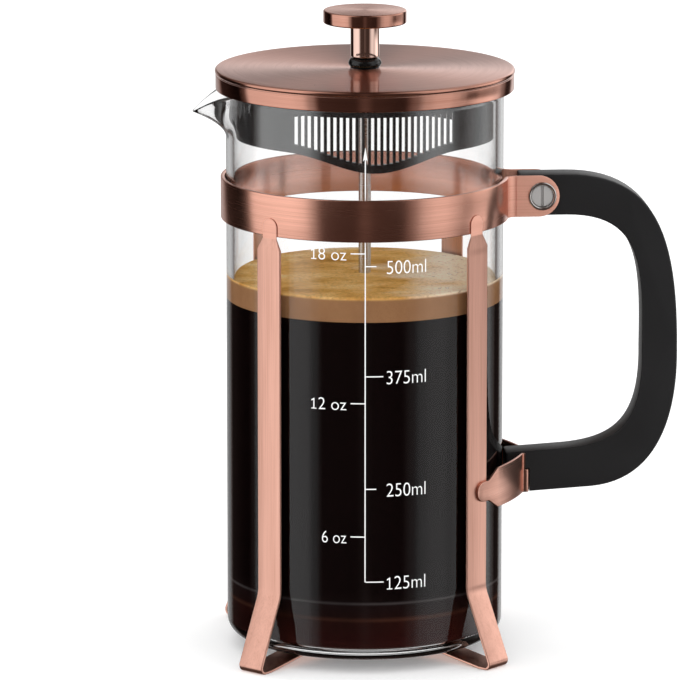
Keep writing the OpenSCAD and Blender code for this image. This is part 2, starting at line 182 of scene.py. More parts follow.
def neighbours(points, i):
    """The points before and after point i. At an end it is the point itself."""
    return points[max(i - 1, 0)], points[min(i + 1, len(points) - 1)]


def dense(points, step):
    """The path with no gap longer than step."""
    out = [points[0]]
    for a, b in zip(points, points[1:]):
        n = max(1, math.ceil(math.dist(a, b) / step))
        out += [(a[0] + (b[0] - a[0]) * k / n, a[1] + (b[1] - a[1]) * k / n) for k in range(1, n + 1)]
    return out


# ---- shapes

def in_plan(u, v, w):
    return u, v, w


def in_side_view(u, v, w):
    return u, w, v


def lathe(profile, steps=192):
    """A closed profile of (r, z) points turned about Z."""
    verts = []
    rings = []
    for r, z in profile:
        n = steps if r else 1
        rings.append([len(verts) + k % n for k in range(steps)])
        turns = [2 * math.pi * k / steps for k in range(n)]
        verts += [(r * math.cos(a), r * math.sin(a), z) for a in turns]
    faces = []
    for i, low in enumerate(rings):
        high = rings[(i + 1) % len(rings)]
        if low[0] == low[1] and high[0] == high[1]:
            continue
        for k in range(steps):
            n = (k + 1) % steps
            faces.append(list(dict.fromkeys((low[k], low[n], high[n], high[k]))))
    return verts, faces


def tube(rings, sides, endless=False):
    """Faces between rings of vertices that follow one another."""
    faces = []
    for i in range(rings if endless else rings - 1):
        here, there = i * sides, (i + 1) % rings * sides
        for k in range(sides):
            n = (k + 1) % sides
            faces.append([here + k, here + n, there + n, there + k])
    return faces


def strip(stations, place, edge):
    """A metal strip swept through stations of (point, out, low, high, thickness), where out is the direction of
    the outer face in the plane of the path. place(u, v, w) puts a path point and a place across it in space."""
    verts = []
    corner_steps = 3
    for point, out, low, high, thick in stations:
        r = min(edge, (high - low) * 0.45, thick * 0.45)
        corners = ((thick / 2 - r, high - r, 0), (r - thick / 2, high - r, 90),
                   (r - thick / 2, low + r, 180), (thick / 2 - r, low + r, 270))
        for across, along, start in corners:
            for k in range(corner_steps + 1):
                a = math.radians(start + 90 * k / corner_steps)
                off = across + r * math.cos(a)
                verts.append(place(point[0] + out[0] * off, point[1] + out[1] * off, along + r * math.sin(a)))
    ring = 4 * (corner_steps + 1)
    last = (len(stations) - 1) * ring
    caps = [list(range(ring))[::-1], list(range(last, last + ring))]
    return verts, tube(len(stations), ring) + caps


def bent_strip(points, limits):
    """A strip along a path seen from above. limits(s) gives its low and high edge at a length s along it."""
    stations = []
    s = 0
    for i, p in enumerate(points):
        before, after = neighbours(points, i)
        t = way(before, after).normalized()
        bend = 1.0
        if 0 < i < len(points) - 1:
            bend = 1 / max(math.cos(way(before, p).angle(way(p, after)) / 2), 0.5)
        s += math.dist(before, p)
        stations.append((p, (t.y * bend, -t.x * bend), *limits(s), STRIP_T))
    return strip(stations, in_plan, YOKE_EDGE)


def joined(*parts):
    """Several shapes as one."""
    verts = []
    faces = []
    for v, f in parts:
        faces += [[i + len(verts) for i in face] for face in f]
        verts += v
    return verts, faces


def mirrored(shape):
    """The shape mirrored in the plane of the handle."""
    verts, faces = shape
    return [(x, -y, z) for x, y, z in verts], [face[::-1] for face in faces]


def prism(outline, w0, w1, place=in_side_view):
    """An outline extruded from w0 to w1. place(u, v, w) puts its points in space."""
    n = len(outline)
    verts = [place(u, v, w) for w in (w0, w1) for u, v in outline]
    faces = [list(range(n))[::-1], list(range(n, 2 * n))]
    faces += [[k, (k + 1) % n, n + (k + 1) % n, n + k] for k in range(n)]
    return verts, faces


def block(x0, x1, y0, y1, z0, z1):
    return prism([(x0, z0), (x1, z0), (x1, z1), (x0, z1)], y0, y1)


def screw_hole(r, y0, y1):
    """A cylinder on the handle screw's axis."""
    sides = 64
    circle = arc(SCREW_X, SCREW_Z, r, 0, 360 - 360 / sides, sides - 1)
    return prism(circle, -y1, -y0, lambda u, v, w: (u, -w, v))


# ---- objects

def new_object(name, data):
    piece = bpy.data.objects.new(name, data)
    bpy.context.scene.collection.objects.link(piece)
    return piece


def raw_object(name, shape):
    """A bare object from a shape in millimetres."""
    verts, faces = shape
    mesh = bpy.data.meshes.new(name)
    mesh.from_pydata([(x * MM, y * MM, z * MM) for x, y, z in verts], [], faces)
    surface = bmesh.new()
    surface.from_mesh(mesh)
    bmesh.ops.recalc_face_normals(surface, faces=surface.faces)
    surface.to_mesh(mesh)
    surface.free()
    return new_object(name, mesh)


def surface_finish(piece, material, sharp):
    """One material, and smooth shading except at edges sharper than an angle in degrees."""
    piece.data.shade_smooth()
    piece.data.set_sharp_from_angle(angle=math.radians(sharp))
    piece.data.materials.clear()
    piece.data.materials.append(material)


def second_material(piece, material, chosen):
    """Another material for the faces that chosen(face) picks."""
    piece.data.materials.append(material)
    for face in piece.data.polygons:
        face.material_index = int(chosen(face))


def on_its_side(face):
    """Whether a face of a flat disc belongs to its edge."""
    return abs(face.normal.z) < 0.9


def dress(piece, material, body, node=None, sharp=40):
    """Surface and body of a new piece, and the CAD node that it replaces."""
    surface_finish(piece, material, sharp)
    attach(piece, body)
    if node:
        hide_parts(node)
    return piece


def mesh_piece(name, shape, material, body, node=None, sharp=40):
    return dress(raw_object(name, shape), material, body, node, sharp)


def final_mesh(piece):
    """What the piece's modifiers, or its font, make of it."""
    bpy.context.view_layer.update()
    graph = bpy.context.evaluated_depsgraph_get()
    return bpy.data.meshes.new_from_object(piece.evaluated_get(graph), depsgraph=graph)


def modify(piece, kind, **values):
    change = piece.modifiers.new(kind.lower(), kind)
    for key, value in values.items():
        setattr(change, key, value)


def apply_modifiers(piece):
    mesh = final_mesh(piece)
    piece.modifiers.clear()
    piece.data = mesh


def cut(piece, cutters):
    """The piece with the cutters' shapes taken out of it."""
    tools = [raw_object("cutter", shape) for shape in cutters]
    for tool in tools:
        modify(piece, "BOOLEAN", operation="DIFFERENCE", solver="EXACT", object=tool)
    apply_modifiers(piece)
    for tool in tools:
        bpy.data.objects.remove(tool)
    return piece


# ---- materials

def rgba(colour):
    """A colour or a grey level with full alpha."""
    return (*colour, 1) if hasattr(colour, "__len__") else (colour, colour, colour, 1)


def shade(colour, *factors):
    """The colour times one factor, or times one for each channel."""
    return tuple(c * k for c, k in zip(colour, factors * 3))


class Tree:
    """A node tree, with short calls to add and join nodes. Values are numbers or outputs of nodes."""

    def __init__(self, tree):
        self.tree = tree

    def add(self, kind, **values):
        node = self.tree.nodes.new("ShaderNode" + kind)
        for key, value in values.items():
            if hasattr(node, key):
                setattr(node, key, value)
            else:
                self.feed(node.inputs[key.replace("_", " ").title()], value)
        return node

    def link(self, source, target):
        self.tree.links.new(source, target)

    def feed(self, socket, value):
        if isinstance(value, bpy.types.NodeSocket):
            self.link(value, socket)
        else:
            socket.default_value = value

    def maths(self, operation, a, b=0.0, clamp=False):
        node = self.add("Math", operation=operation, use_clamp=clamp)
        self.feed(node.inputs[0], a)
        self.feed(node.inputs[1], b)
        return node.outputs[0]

    def plus(self, a, b):
        return self.maths("ADD", a, b)

    def minus(self, a, b):
        return self.maths("SUBTRACT", a, b)

    def times(self, a, b):
        return self.maths("MULTIPLY", a, b)

    def rise(self, value, start, slope):
        """0 up to the start and 1 from 1 / slope further on. A negative slope runs the other way."""
        return self.maths("MULTIPLY", self.minus(value, start), slope, clamp=True)

    def hump(self, value, centre, top, slope):
        """1 round the centre, falling to 0 on both sides."""
        off = self.times(self.maths("ABSOLUTE", self.minus(value, centre)), slope)
        return self.maths("SUBTRACT", top, off, clamp=True)

    def parts(self, vector):
        """The x, y and z of a vector."""
        return self.add("SeparateXYZ", vector=vector).outputs

    def ramp(self, value, stops, interpolation="LINEAR"):
        node = self.add("ValToRGB")
        node.color_ramp.interpolation = interpolation
        elements = node.color_ramp.elements
        while len(elements) < len(stops):
            elements.new(0.5)
        for element, (position, colour) in zip(elements, stops):
            element.position = position
            element.color = rgba(colour)
        self.link(value, node.inputs[0])
        return node.outputs[0]

    def blend(self, factor, a, b):
        """Colour a where the factor is 0 and b where it is 1."""
        node = self.add("Mix", data_type="RGBA")
        self.link(factor, node.inputs[0])
        for socket, value in ((node.inputs[6], a), (node.inputs[7], b)):
            self.feed(socket, rgba(value) if isinstance(value, tuple) else value)
        return node.outputs[2]


class Nodes(Tree):
    """A material's node tree."""

    def __init__(self, name):
        self.material = bpy.data.materials.new(name)
        self.material.use_nodes = True
        super().__init__(self.material.node_tree)
        self.shader = self.tree.nodes["Principled BSDF"]

    def set(self, **values):
        """The shader's inputs."""
        for key, value in values.items():
            self.feed(self.shader.inputs[key.replace("_", " ").title().replace("Ior", "IOR")], value)

    def place(self):
        """Object coordinates, in metres."""
        return self.add("TexCoord").outputs["Object"]

    def stretched(self, x, y, z):
        """Object coordinates scaled by x, y and z."""
        scale = self.add("VectorMath", operation="MULTIPLY")
        self.link(self.place(), scale.inputs[0])
        scale.inputs[1].default_value = (x, y, z)
        return scale.outputs[0]

    def around(self, radial, turns):
        """Radius and angle about Z as a vector, for grain that runs in circles on a flat disc."""
        x, y, _ = self.parts(self.place())
        radius = self.maths("SQRT", self.plus(self.times(x, x), self.times(y, y)))
        angle = self.maths("ARCTAN2", y, x)
        return self.add("CombineXYZ", x=self.times(radius, radial), y=self.times(angle, turns)).outputs[0]

    def noise(self, vector, scale=1.0, detail=3.0, roughness=0.5):
        node = self.add("TexNoise", vector=vector, scale=scale, detail=detail, roughness=roughness)
        return node.outputs["Fac"]

    def cells(self, scale):
        """Distance to the middles of scattered cells."""
        return self.add("TexVoronoi", feature="F1", vector=self.place(), scale=scale).outputs["Distance"]

    def spread(self, value, low, high, out_low, out_high):
        """The value taken from one range to another and kept inside it."""
        node = self.add("MapRange", value=value, from_min=low, from_max=high, to_min=out_low, to_max=out_high)
        return node.outputs[0]

    def bump(self, height, strength, distance):
        node = self.add("Bump", strength=strength, distance=distance)
        self.link(height, node.inputs["Height"])
        self.set(normal=node.outputs[0])


def brushed_metal(name, colour, grain, roughness, anisotropy, depth=0.00001, metallic=1.0, coat=0.0):
    """Brushed metal. grain is "level" for lines that run round the object, "disc" for circles and "upright" for
    lines along Z."""
    m = Nodes(name)
    turn = 0.0 if grain == "upright" else 0.25      # of the highlight, against the direction round Z
    if grain == "level":
        fine, broad = m.stretched(30, 30, 5200), m.stretched(12, 12, 900)
    elif grain == "disc":
        fine, broad = m.around(5200, 2.2), m.around(700, 1.0)
    else:
        fine, broad = m.stretched(4300, 4300, 42), m.stretched(700, 700, 14)
    fine = m.noise(fine, detail=4.0, roughness=0.6)
    both = m.plus(m.times(fine, 0.65), m.times(m.noise(broad, detail=2.0), 0.35))
    lighter = tuple(min(c * 1.08 + 0.01, 1) for c in colour)
    m.set(base_color=m.ramp(both, ((0.32, shade(colour, 0.88, 0.83, 0.80)), (0.5, colour), (0.70, lighter))),
          roughness=m.spread(both, 0.3, 0.7, roughness * 1.15, roughness * 0.85),
          metallic=metallic, anisotropic=anisotropy, anisotropic_rotation=turn,
          coat_weight=coat, coat_roughness=0.04,
          tangent=m.add("Tangent", direction_type="RADIAL", axis="Z").outputs[0])
    m.bump(both, 0.35, depth)
    return m.material


def polished_metal(name, colour, roughness, metallic=1.0, grain=900):
    """Turned or rolled metal with faint marks and handling haze."""
    m = Nodes(name)
    haze = m.noise(m.place(), scale=90.0, detail=3.0)
    m.set(base_color=m.ramp(haze, ((0.3, shade(colour, 0.9)), (0.7, colour))),
          roughness=m.spread(haze, 0.3, 0.7, roughness * 1.3, roughness * 0.8), metallic=metallic)
    m.bump(m.noise(m.stretched(grain, grain, grain * 0.4), detail=4.0), 0.3, 0.000004)
    return m.material


def moulded_plastic(name, colour, roughness, grain=2600, depth=0.00003, ior=1.47):
    """Moulded plastic: fine grain, and a slight unevenness of its gloss."""
    m = Nodes(name)
    fine = m.noise(m.place(), scale=float(grain), detail=3.0)
    broad = m.noise(m.place(), scale=35.0, detail=2.0)
    m.set(base_color=m.ramp(broad, ((0.3, shade(colour, 0.8)), (0.7, colour))),
          roughness=m.spread(fine, 0.3, 0.7, roughness * 0.9, roughness * 1.15), ior=ior)
    m.bump(fine, 0.25, depth)
    return m.material


def clear_glass():
    """Blown borosilicate glass with barely visible waves."""
    m = Nodes("clear_glass")
    wave = m.noise(m.stretched(22, 22, 9), detail=2.0)
    m.set(base_color=m.ramp(wave, ((0.3, (0.985, 0.99, 0.99)), (0.7, (1, 1, 1)))),
          roughness=0.0, ior=1.47, transmission_weight=1.0)
    m.bump(wave, 0.15, 0.0002)
    return m.material


def coffee_liquid():
    """Black coffee, with painted light near the bottom where the filter shows through: a reddish glow, a
    brighter reddish line and a pale line, the painted glint of its coil.
    """
    m = Nodes("coffee_liquid")
    black = (0.0045, 0.0018, 0.002)
    _, _, z = m.parts(m.place())
    cloud = m.noise(m.stretched(18, 18, 40), detail=3.0)
    # Painted light by height: the filter's reddish glow, a brighter line near 16 mm and the pale glint of its
    # coil near 21 mm.
    painted_filter_light = ((0.0, (0.020, 0.006, 0.006)), (0.36, (0.030, 0.006, 0.005)), (0.50, (0.034, 0.008, 0.006)),
              (0.525, (0.085, 0.030, 0.018)), (0.56, (0.020, 0.007, 0.006)), (0.67, (0.017, 0.008, 0.008)),
              (0.69, (0.100, 0.085, 0.085)), (0.71, (0.008, 0.004, 0.004)), (0.80, black))
    low = m.ramp(m.spread(z, 0.0, 0.03, 0.0, 1.0), painted_filter_light)
    m.set(base_color=m.blend(m.spread(cloud, 0.35, 0.6, 0.35, 1.0), black, low),
          roughness=0.35, specular_ior_level=0.0)
    return m.material


def coffee_crema():
    """Crema: golden mottled foam on top with pale patches and bubbles, and an even brown side. The top glows a
    little too: painted light.
    """
    m = Nodes("coffee_crema")
    x, _, z = m.parts(m.place())
    swirl = m.noise(m.stretched(55, 90, 55), detail=6.0, roughness=0.65)
    fleck = m.noise(m.place(), scale=900.0, detail=4.0, roughness=0.7)
    patch = m.noise(m.stretched(26, 40, 26), detail=3.0)
    top = m.ramp(swirl, ((0.30, (0.46, 0.21, 0.045)), (0.46, (0.68, 0.36, 0.10)),
                         (0.58, (0.78, 0.47, 0.17)), (0.72, (0.88, 0.66, 0.36))))
    pale = m.spread(m.plus(patch, m.times(x, 5.0)), 0.50, 0.66, 0.0, 0.85)
    top = m.blend(pale, top, (0.84, 0.69, 0.52))
    top = m.blend(m.spread(fleck, 0.35, 0.5, 0.4, 0.0), top, (0.26, 0.13, 0.04))
    bubble = m.cells(430.0)
    group = m.times(m.spread(patch, 0.50, 0.56, 0.0, 1.0), m.spread(x, -0.002, 0.004, 0.0, 1.0))
    top = m.blend(m.times(m.spread(bubble, 0.18, 0.28, 0.7, 0.0), group), top, (0.30, 0.17, 0.07))
    top = m.blend(m.times(m.spread(bubble, 0.10, 0.17, 0.9, 0.0), group), top, (0.95, 0.88, 0.78))
    side = m.ramp(swirl, ((0.3, (0.43, 0.21, 0.096)), (0.7, (0.55, 0.285, 0.138))))
    on_top = m.spread(z, (CREMA_TOP - 1.1) * MM, (CREMA_TOP - CREMA_EDGE) * MM, 0.0, 1.0)
    tone = m.blend(on_top, side, top)
    # Painted light: the top glows with 0.35 of its own colour.
    m.set(base_color=tone, emission_color=tone, emission_strength=m.times(on_top, 0.35),
          roughness=0.6, specular_ior_level=0.0)
    m.bump(m.plus(m.times(m.cells(620.0), -0.6), fleck), 0.5, 0.0003)
    return m.material


def white_print():
    """White ceramic ink, slightly uneven."""
    m = Nodes("white_print")
    uneven = m.noise(m.place(), scale=2500.0, detail=2.0)
    m.set(base_color=m.ramp(uneven, ((0.3, 0.86), (0.7, 0.95))), roughness=0.5)
    return m.material


def woven_wire(name, colour):
    """Fine woven wire cloth: two crossed sets of wires in bump and tone."""
    m = Nodes(name)
    x, y, _ = m.parts(m.place())
    pitch = 2 * math.pi / 0.0006
    weave = m.times(m.maths("SINE", m.times(x, pitch)), m.maths("SINE", m.times(y, pitch)))
    tone = m.ramp(m.spread(weave, -1.0, 1.0, 0.0, 1.0), ((0.2, shade(colour, 0.35)), (0.75, colour)))
    m.set(base_color=tone, metallic=0.9, roughness=0.38)
    m.bump(weave, 0.6, 0.00015)
    return m.material


COPPER = (0.87, 0.45, 0.34)
COPPER_STRIP = (0.90, 0.50, 0.39)
STEEL = (0.62, 0.61, 0.60)

copper_band = brushed_metal("copper_band_metal", COPPER, "level", 0.25, 0.75)
copper_strip = brushed_metal("copper_strip_metal", COPPER_STRIP, "upright", 0.34, 0.6)
copper_yoke = brushed_metal("copper_yoke_metal", COPPER_STRIP, "level", 0.30, 0.6, 0.000004)
copper_lid = brushed_metal("copper_lid_metal", (0.82, 0.41, 0.31), "disc", 0.31, 0.95, coat=0.3)
# Painted shade: the lid's copper made darker for the side faces of the lid and the knob.
copper_side_shaded = brushed_metal("copper_rim_metal", (0.64, 0.32, 0.24), "level", 0.13, 0.8)
copper_ear = brushed_metal("copper_ear_metal", COPPER, "level", 0.5, 0.3, metallic=0.5)
copper_knob = brushed_metal("copper_knob_metal", COPPER, "disc", 0.25, 0.7)
copper_polished = polished_metal("copper_polished_metal", (0.96, 0.66, 0.56), 0.06)
black_handle = moulded_plastic("black_handle_plastic", (0.016, 0.016, 0.017), 0.36)
black_strainer = moulded_plastic("black_strainer_plastic", (0.014, 0.014, 0.015), 0.15, 1800, 0.000006, 2.1)
black_rubber = moulded_plastic("black_grommet_plastic", (0.006, 0.006, 0.006), 0.06, 1200, 0.000004)
screw_metal = polished_metal("screw_metal", STEEL, 0.42, 0.45, 1500)
cup_metal = polished_metal("cup_metal", (0.92, 0.90, 0.88), 0.1)
rod_metal = brushed_metal("rod_metal", (0.80, 0.79, 0.78), "level", 0.26, 1.0, 0.0)
plate_metal = polished_metal("plate_metal", (0.64, 0.63, 0.62), 0.26, 1.0, 1300)
wire_metal = polished_metal("wire_metal", (0.60, 0.59, 0.58), 0.2)
rivet_metal = polished_metal("rivet_metal", (0.55, 0.54, 0.53), 0.3)
mesh_metal = woven_wire("mesh_metal", STEEL)
glass = clear_glass()


# ---- the beaker and what is in it

def beaker_profile():
    """Closed half section of the beaker, from the middle of its underside out, up, over the rim and back."""
    lip = GLASS_WALL / 2
    spout_root = RIM_Z - SPOUT_DEPTH
    outside = [(0, GLASS_Z + 1), (8, GLASS_Z + 1), (16, GLASS_Z + 1)]
    outside += arc(20, GLASS_Z + 4, 3, -90, -60, 3)
    outside += arc(26, GLASS_Z - 3, 3, 120, 90, 3)
    outside += arc(GLASS_R - 5, GLASS_Z + 5, 5, -90, 0, 12)
    outside += [(GLASS_R, GLASS_Z + z) for z in (20, 50, 80, 110, 130)]
    outside += [(GLASS_R, spout_root + (SPOUT_DEPTH - lip) * i / 14) for i in range(14)]
    outside += arc(GLASS_R - lip, RIM_Z - lip, lip, 0, 180, 12)
    inside = [(BORE_R, spout_root + (SPOUT_DEPTH - lip) * i / 14) for i in range(13, -1, -1)]
    inside += [(BORE_R, GLASS_Z + z) for z in (130, 110, 80, 50, 20)]
    inside += arc(BORE_R - 4.5, FLOOR_Z + 4.5, 4.5, 0, -90, 12)
    inside += [(20, FLOOR_Z), (8, FLOOR_Z), (0, FLOOR_Z)]
    return outside + inside


def spout_warp(x, y, z):
    """Pulls the wall out into the pouring lip, on the -X side near the rim."""
    root = RIM_Z - SPOUT_DEPTH
    r = math.hypot(x, y)
    off = abs(math.atan2(y, -x))
    if z <= root or off >= SPOUT_HALF_ANGLE or r < 1:
        return x, y, z
    soft = 0.035            # radians over which the tip is rounded
    a = math.sqrt(off * off + soft * soft) - soft * (1 - off / SPOUT_HALF_ANGLE)
    side = GLASS_R * math.sin(SPOUT_HALF_ANGLE)
    front = SPOUT_REACH - GLASS_R * math.cos(SPOUT_HALF_ANGLE)
    lip_r = SPOUT_REACH * side / (front * math.sin(a) + side * math.cos(a))
    t = min((z - root) / SPOUT_DEPTH, 1)
    fade = 1 - a / SPOUT_HALF_ANGLE
    inner = min(max((GLASS_R - r) / GLASS_WALL, 0), 1)
    thinning = 1.3 * inner * fade
    new_r = r + (lip_r - GLASS_R + thinning) * t * t
    new_z = z - SPOUT_DROP * fade ** 2.2 * t
    return x * new_r / r, y * new_r / r, new_z


def make_beaker():
    verts, faces = lathe(beaker_profile(), 288)
    shape = [spout_warp(*v) for v in verts], faces
    mesh_piece("beaker_glass", shape, glass, "carafe", "glass_beaker", 50)


def make_coffee():
    """The drink: coffee from the beaker's floor up and a layer of crema on it, both just inside the glass."""
    floor = FLOOR_Z + 0.05
    corner = 4.5
    body = [(0, floor)] + arc(COFFEE_R - corner - 0.05, floor + corner, corner, -90, 0, 10)
    body += [(COFFEE_R, z) for z in (40, 70, CREMA_BOTTOM)] + [(0, CREMA_BOTTOM)]
    mesh_piece("coffee", lathe(body), coffee_liquid(), "carafe", sharp=30)

    bottom = CREMA_BOTTOM + 0.02
    layer = [(0, bottom), (COFFEE_R, bottom), (COFFEE_R, CREMA_TOP - CREMA_EDGE)]
    layer += arc(COFFEE_R - CREMA_EDGE, CREMA_TOP - CREMA_EDGE, CREMA_EDGE, 15, 90, 5)
    layer += [(COFFEE_R - CREMA_EDGE - 0.5 * i, CREMA_TOP) for i in range(1, 73)] + [(0, CREMA_TOP)]
    verts, faces = lathe(layer, 256)
    mesh_piece("crema", ([foam(*v) for v in verts], faces), coffee_crema(), "carafe", sharp=30)


def foam(x, y, z):
    """Gentle unevenness of the crema's top."""
    if z < CREMA_TOP - 0.01:
        return x, y, z
    low = noise.noise(Vector((x / 9, y / 9, 3.1)))
    fine = noise.noise(Vector((x / 1.3, y / 1.3, 7.7)))
    return x, y, z + 0.14 * low + 0.09 * fine


# ---- measuring marks

MARK_LIFT = 0.04        # how far the ink stands off the glass
LINE_W = 0.32
LINE_TOP = 151.5
ARROW_TIP = 155.0
ARROW_BARB = 150.9
ARROW_HALF_W = 0.65
TEXT_GAP_RIGHT = 6.2    # from the line to the figures
TEXT_GAP_LEFT = 5.4
TEXT_W_RIGHT = 11.8

# What is written, its height on the glass and the length of its tick.
RIGHT_MARKS = (("500ml", 120.4, 3.2), ("375ml", 88.2, 5.2), ("250ml", 55.1, 3.2), ("125ml", 27.6, 5.4))
LEFT_MARKS = (("18 oz", 124.1, 4.2), ("12 oz", 80.3, 4.2), ("6 oz", 41.0, 4.2))


def on_glass(side, z):
    """A point on the glass: side is the way along its surface, to the right as the camera sees it."""
    a = MARK_AZIMUTH + side / GLASS_R
    r = GLASS_R + MARK_LIFT
    return r * math.cos(a), r * math.sin(a), z


def ink_bar(s0, s1, z0, z1):
    n = max(1, round((s1 - s0) / 1.0))
    verts = []
    for i in range(n + 1):
        s = s0 + (s1 - s0) * i / n
        verts += [on_glass(s, z0), on_glass(s, z1)]
    return verts, [[2 * i, 2 * i + 2, 2 * i + 3, 2 * i + 1] for i in range(n)]


def font_mesh(words):
    """Vertices and faces of flat lettering, as the font draws it."""
    curve = bpy.data.curves.new("words", "FONT")
    curve.body = words
    curve.resolution_u = 6
    curve.offset = -0.011
    text = new_object("words", curve)
    mesh = final_mesh(text)
    bpy.data.objects.remove(text)
    return [(v.co.x, v.co.y) for v in mesh.vertices], [list(p.vertices) for p in mesh.polygons]


def figure_one(left, z_low, height):
    """A 1 with a flag and a foot, as parts."""
    stem = left + 0.95
    half = 0.17
    top = z_low + height * 0.9
    tip = stem - 0.8
    flag = [on_glass(*p) for p in ((stem, top), (tip, top - 0.45), (tip, top - 0.85), (stem, top - 0.45))]
    foot = ink_bar(left + 0.15, left + 1.75, z_low, z_low + 0.3)
    return [ink_bar(stem - half, stem + half, z_low, top), foot, (flag, [[0, 1, 2, 3]])]


def ink_text(words, left, right, z_low, height):
    """Lettering wrapped on the glass between two places, as tall as height. A leading 1 is drawn apart."""
    parts = []
    if words[0] == "1":
        parts = figure_one(left, z_low, height)
        words = words[1:]
        left += 2.35
    points, faces = font_mesh(words)
    xs, ys = zip(*points)
    wide = (right - left) / (max(xs) - min(xs))
    tall = height / (max(ys) - min(ys))
    verts = [on_glass(left + (x - min(xs)) * wide, z_low + (y - min(ys)) * tall) for x, y in points]
    return joined(*parts, (verts, faces))


def make_marks():
    half = LINE_W / 2
    parts = [ink_bar(-half, half, min(z for _, z, _ in RIGHT_MARKS), LINE_TOP)]
    tip = [on_glass(-half, LINE_TOP), on_glass(-ARROW_HALF_W, ARROW_BARB), on_glass(0, ARROW_TIP),
           on_glass(ARROW_HALF_W, ARROW_BARB), on_glass(half, LINE_TOP)]
    parts.append((tip, [[4, 3, 2, 1, 0]]))
    for words, z, length in RIGHT_MARKS:
        parts.append(ink_bar(half, length, z - half, z + half))
        parts.append(ink_text(words, TEXT_GAP_RIGHT, TEXT_GAP_RIGHT + TEXT_W_RIGHT, z - 2.3, 3.9))
    for words, z, length in LEFT_MARKS:
        wide = 10.6 if len(words) > 4 else 7.2
        parts.append(ink_bar(-length, -half, z - half, z + half))
        parts.append(ink_text(words, -TEXT_GAP_LEFT - wide, -TEXT_GAP_LEFT, z - 2.0, 3.5))
    mesh_piece("measuring_marks", joined(*parts), white_print(), "carafe", sharp=30)


# ---- frame: ring, legs, yoke

def ring_path():
    """Middle of the ring's sheet from above: an ear, the bend, all the way round, the other bend and ear."""
    centre_y = EAR_Y + FLARE_R
    reach = RING_R + FLARE_R
    flare_x = math.sqrt(reach * reach - centre_y * centre_y)
    opening = math.degrees(math.asin(centre_y / reach))
    front = [(EAR_END_X + RING_H / 2 * math.sin(math.radians(a)), -EAR_Y) for a in range(90, 0, -6)]
    front += [(EAR_END_X - (EAR_END_X - flare_x) * i / 8, -EAR_Y) for i in range(8)]
    front += arc(flare_x, -centre_y, FLARE_R, 90, 180 - opening, 10)
    back = [(x, -y) for x, y in reversed(front)]
    return front + arc(0, 0, RING_R, -opening, opening - 360, 240)[1:-1] + back, flare_x


def make_ring():
    points, flare_x = ring_path()
    stations = []
    for i, p in enumerate(points):
        t = way(*neighbours(points, i)).normalized()
        past = max(p[0] - EAR_END_X, 0)
        half = max(math.sqrt(max(RING_H * RING_H / 4 - past * past, 0)), 0.05)
        stations.append((p, (-t.y, t.x), SCREW_Z - half, SCREW_Z + half, RING_T))
    ring = raw_object("ring_with_ears", strip(stations, in_plan, STRIP_EDGE))

    half_groove = 0.25
    bed = EAR_Y + RING_T / 2 - 0.25
    creases = [block(flare_x - half_groove, flare_x + half_groove, *sorted((side * bed, side * (bed + 1))),
                     RING_Z - 1, RING_Z + RING_H + 1) for side in (-1, 1)]
    cut(ring, [screw_hole(CUP_R, -EAR_Y - 3, EAR_Y + 3)] + creases)
    dress(ring, copper_band, "frame", "ring_band")
    ear_start = (flare_x - 2.6) * MM
    second_material(ring, copper_ear, lambda face: face.center.x > ear_start)


def leg_half_path(dip):
    """Middle of a leg strip in its own plane: from under the beaker out to the foot and up to the ring."""
    foot_x = FOOT_REACH - STRIP_T / 2 - FOOT_FOLD_R
    start, bends = [(0, BAR_Z)], [0]
    if dip:
        start = [(0, BAR_Z - dip), (6.5, BAR_Z - dip), (8, BAR_Z)]
        bends = [0, 1, 1]
    level = start + [(33, BAR_Z), (foot_x - 2.2, STRIP_T / 2)]
    level = rounded(level, bends + [3, 1.5], 4, closed=False)
    fold = arc(foot_x, STRIP_T / 2 + FOOT_FOLD_R, FOOT_FOLD_R, -90, FOOT_FOLD_ANGLE, 10)
    up = [fold[-1], (LEG_R, LEG_KINK_Z), (LEG_R, LEG_TOP_Z)]
    up = rounded(up, [0, LEG_KINK_R, 0], 8, closed=False)
    return dense(level + fold, 3) + dense(up, 3)[1:]


def make_leg(name, node, turn, dip):
    """One strip: both of its legs and the bar under the beaker that joins them."""
    shoulder = RING_Z - 0.6
    crown_z = LEG_TOP_Z - TAB_W / 2
    half = [p for p in leg_half_path(dip) if p[1] < shoulder - TAPER_H - 0.1 or p[0] < LEG_R - 1]
    half += [(LEG_R, shoulder - TAPER_H), (LEG_R, shoulder), (LEG_R, shoulder + 0.05)]
    half += [(LEG_R, crown_z + TAB_W / 2 * math.sin(math.radians(a))) for a in range(0, 91, 6)]

    def width(x, z):
        if abs(x) < LEG_R - 1 or z < shoulder - TAPER_H - 0.01:
            return LEG_W
        if z < shoulder:
            return LEG_W - (LEG_W - TAB_W) * (z - shoulder + TAPER_H) / TAPER_H
        rise = max(z - crown_z, 0)
        return max(2 * math.sqrt(max(TAB_W * TAB_W / 4 - rise * rise, 0)), 0.1)

    points = [(-x, z) for x, z in reversed(half)] + half[1:]
    stations = []
    for i, p in enumerate(points):
        before, after = neighbours(points, i)
        a = way(before, p) if i else way(p, after)
        b = way(p, after) if i < len(points) - 1 else a
        t = (a.normalized() + b.normalized()).normalized()
        bend = 1 / max(t.dot(b.normalized()), 0.6)
        w = width(*p)
        thick = STRIP_T
        if p[1] > shoulder - 0.01:
            thick = TAB_T
            p = (math.copysign(abs(p[0]) - (STRIP_T - thick) / 2, p[0]), p[1])
        stations.append((p, (t.y * bend, -t.x * bend), -w / 2, w / 2, thick))
    c, s = math.cos(math.radians(turn)), math.sin(math.radians(turn))
    shape = strip(stations, lambda u, v, w: (u * c + w * s, u * s - w * c, v), STRIP_EDGE)
    leg = mesh_piece(name, shape, copper_strip, "frame", node)
    second_material(leg, copper_ear, lambda face: face.center.z > shoulder * MM)


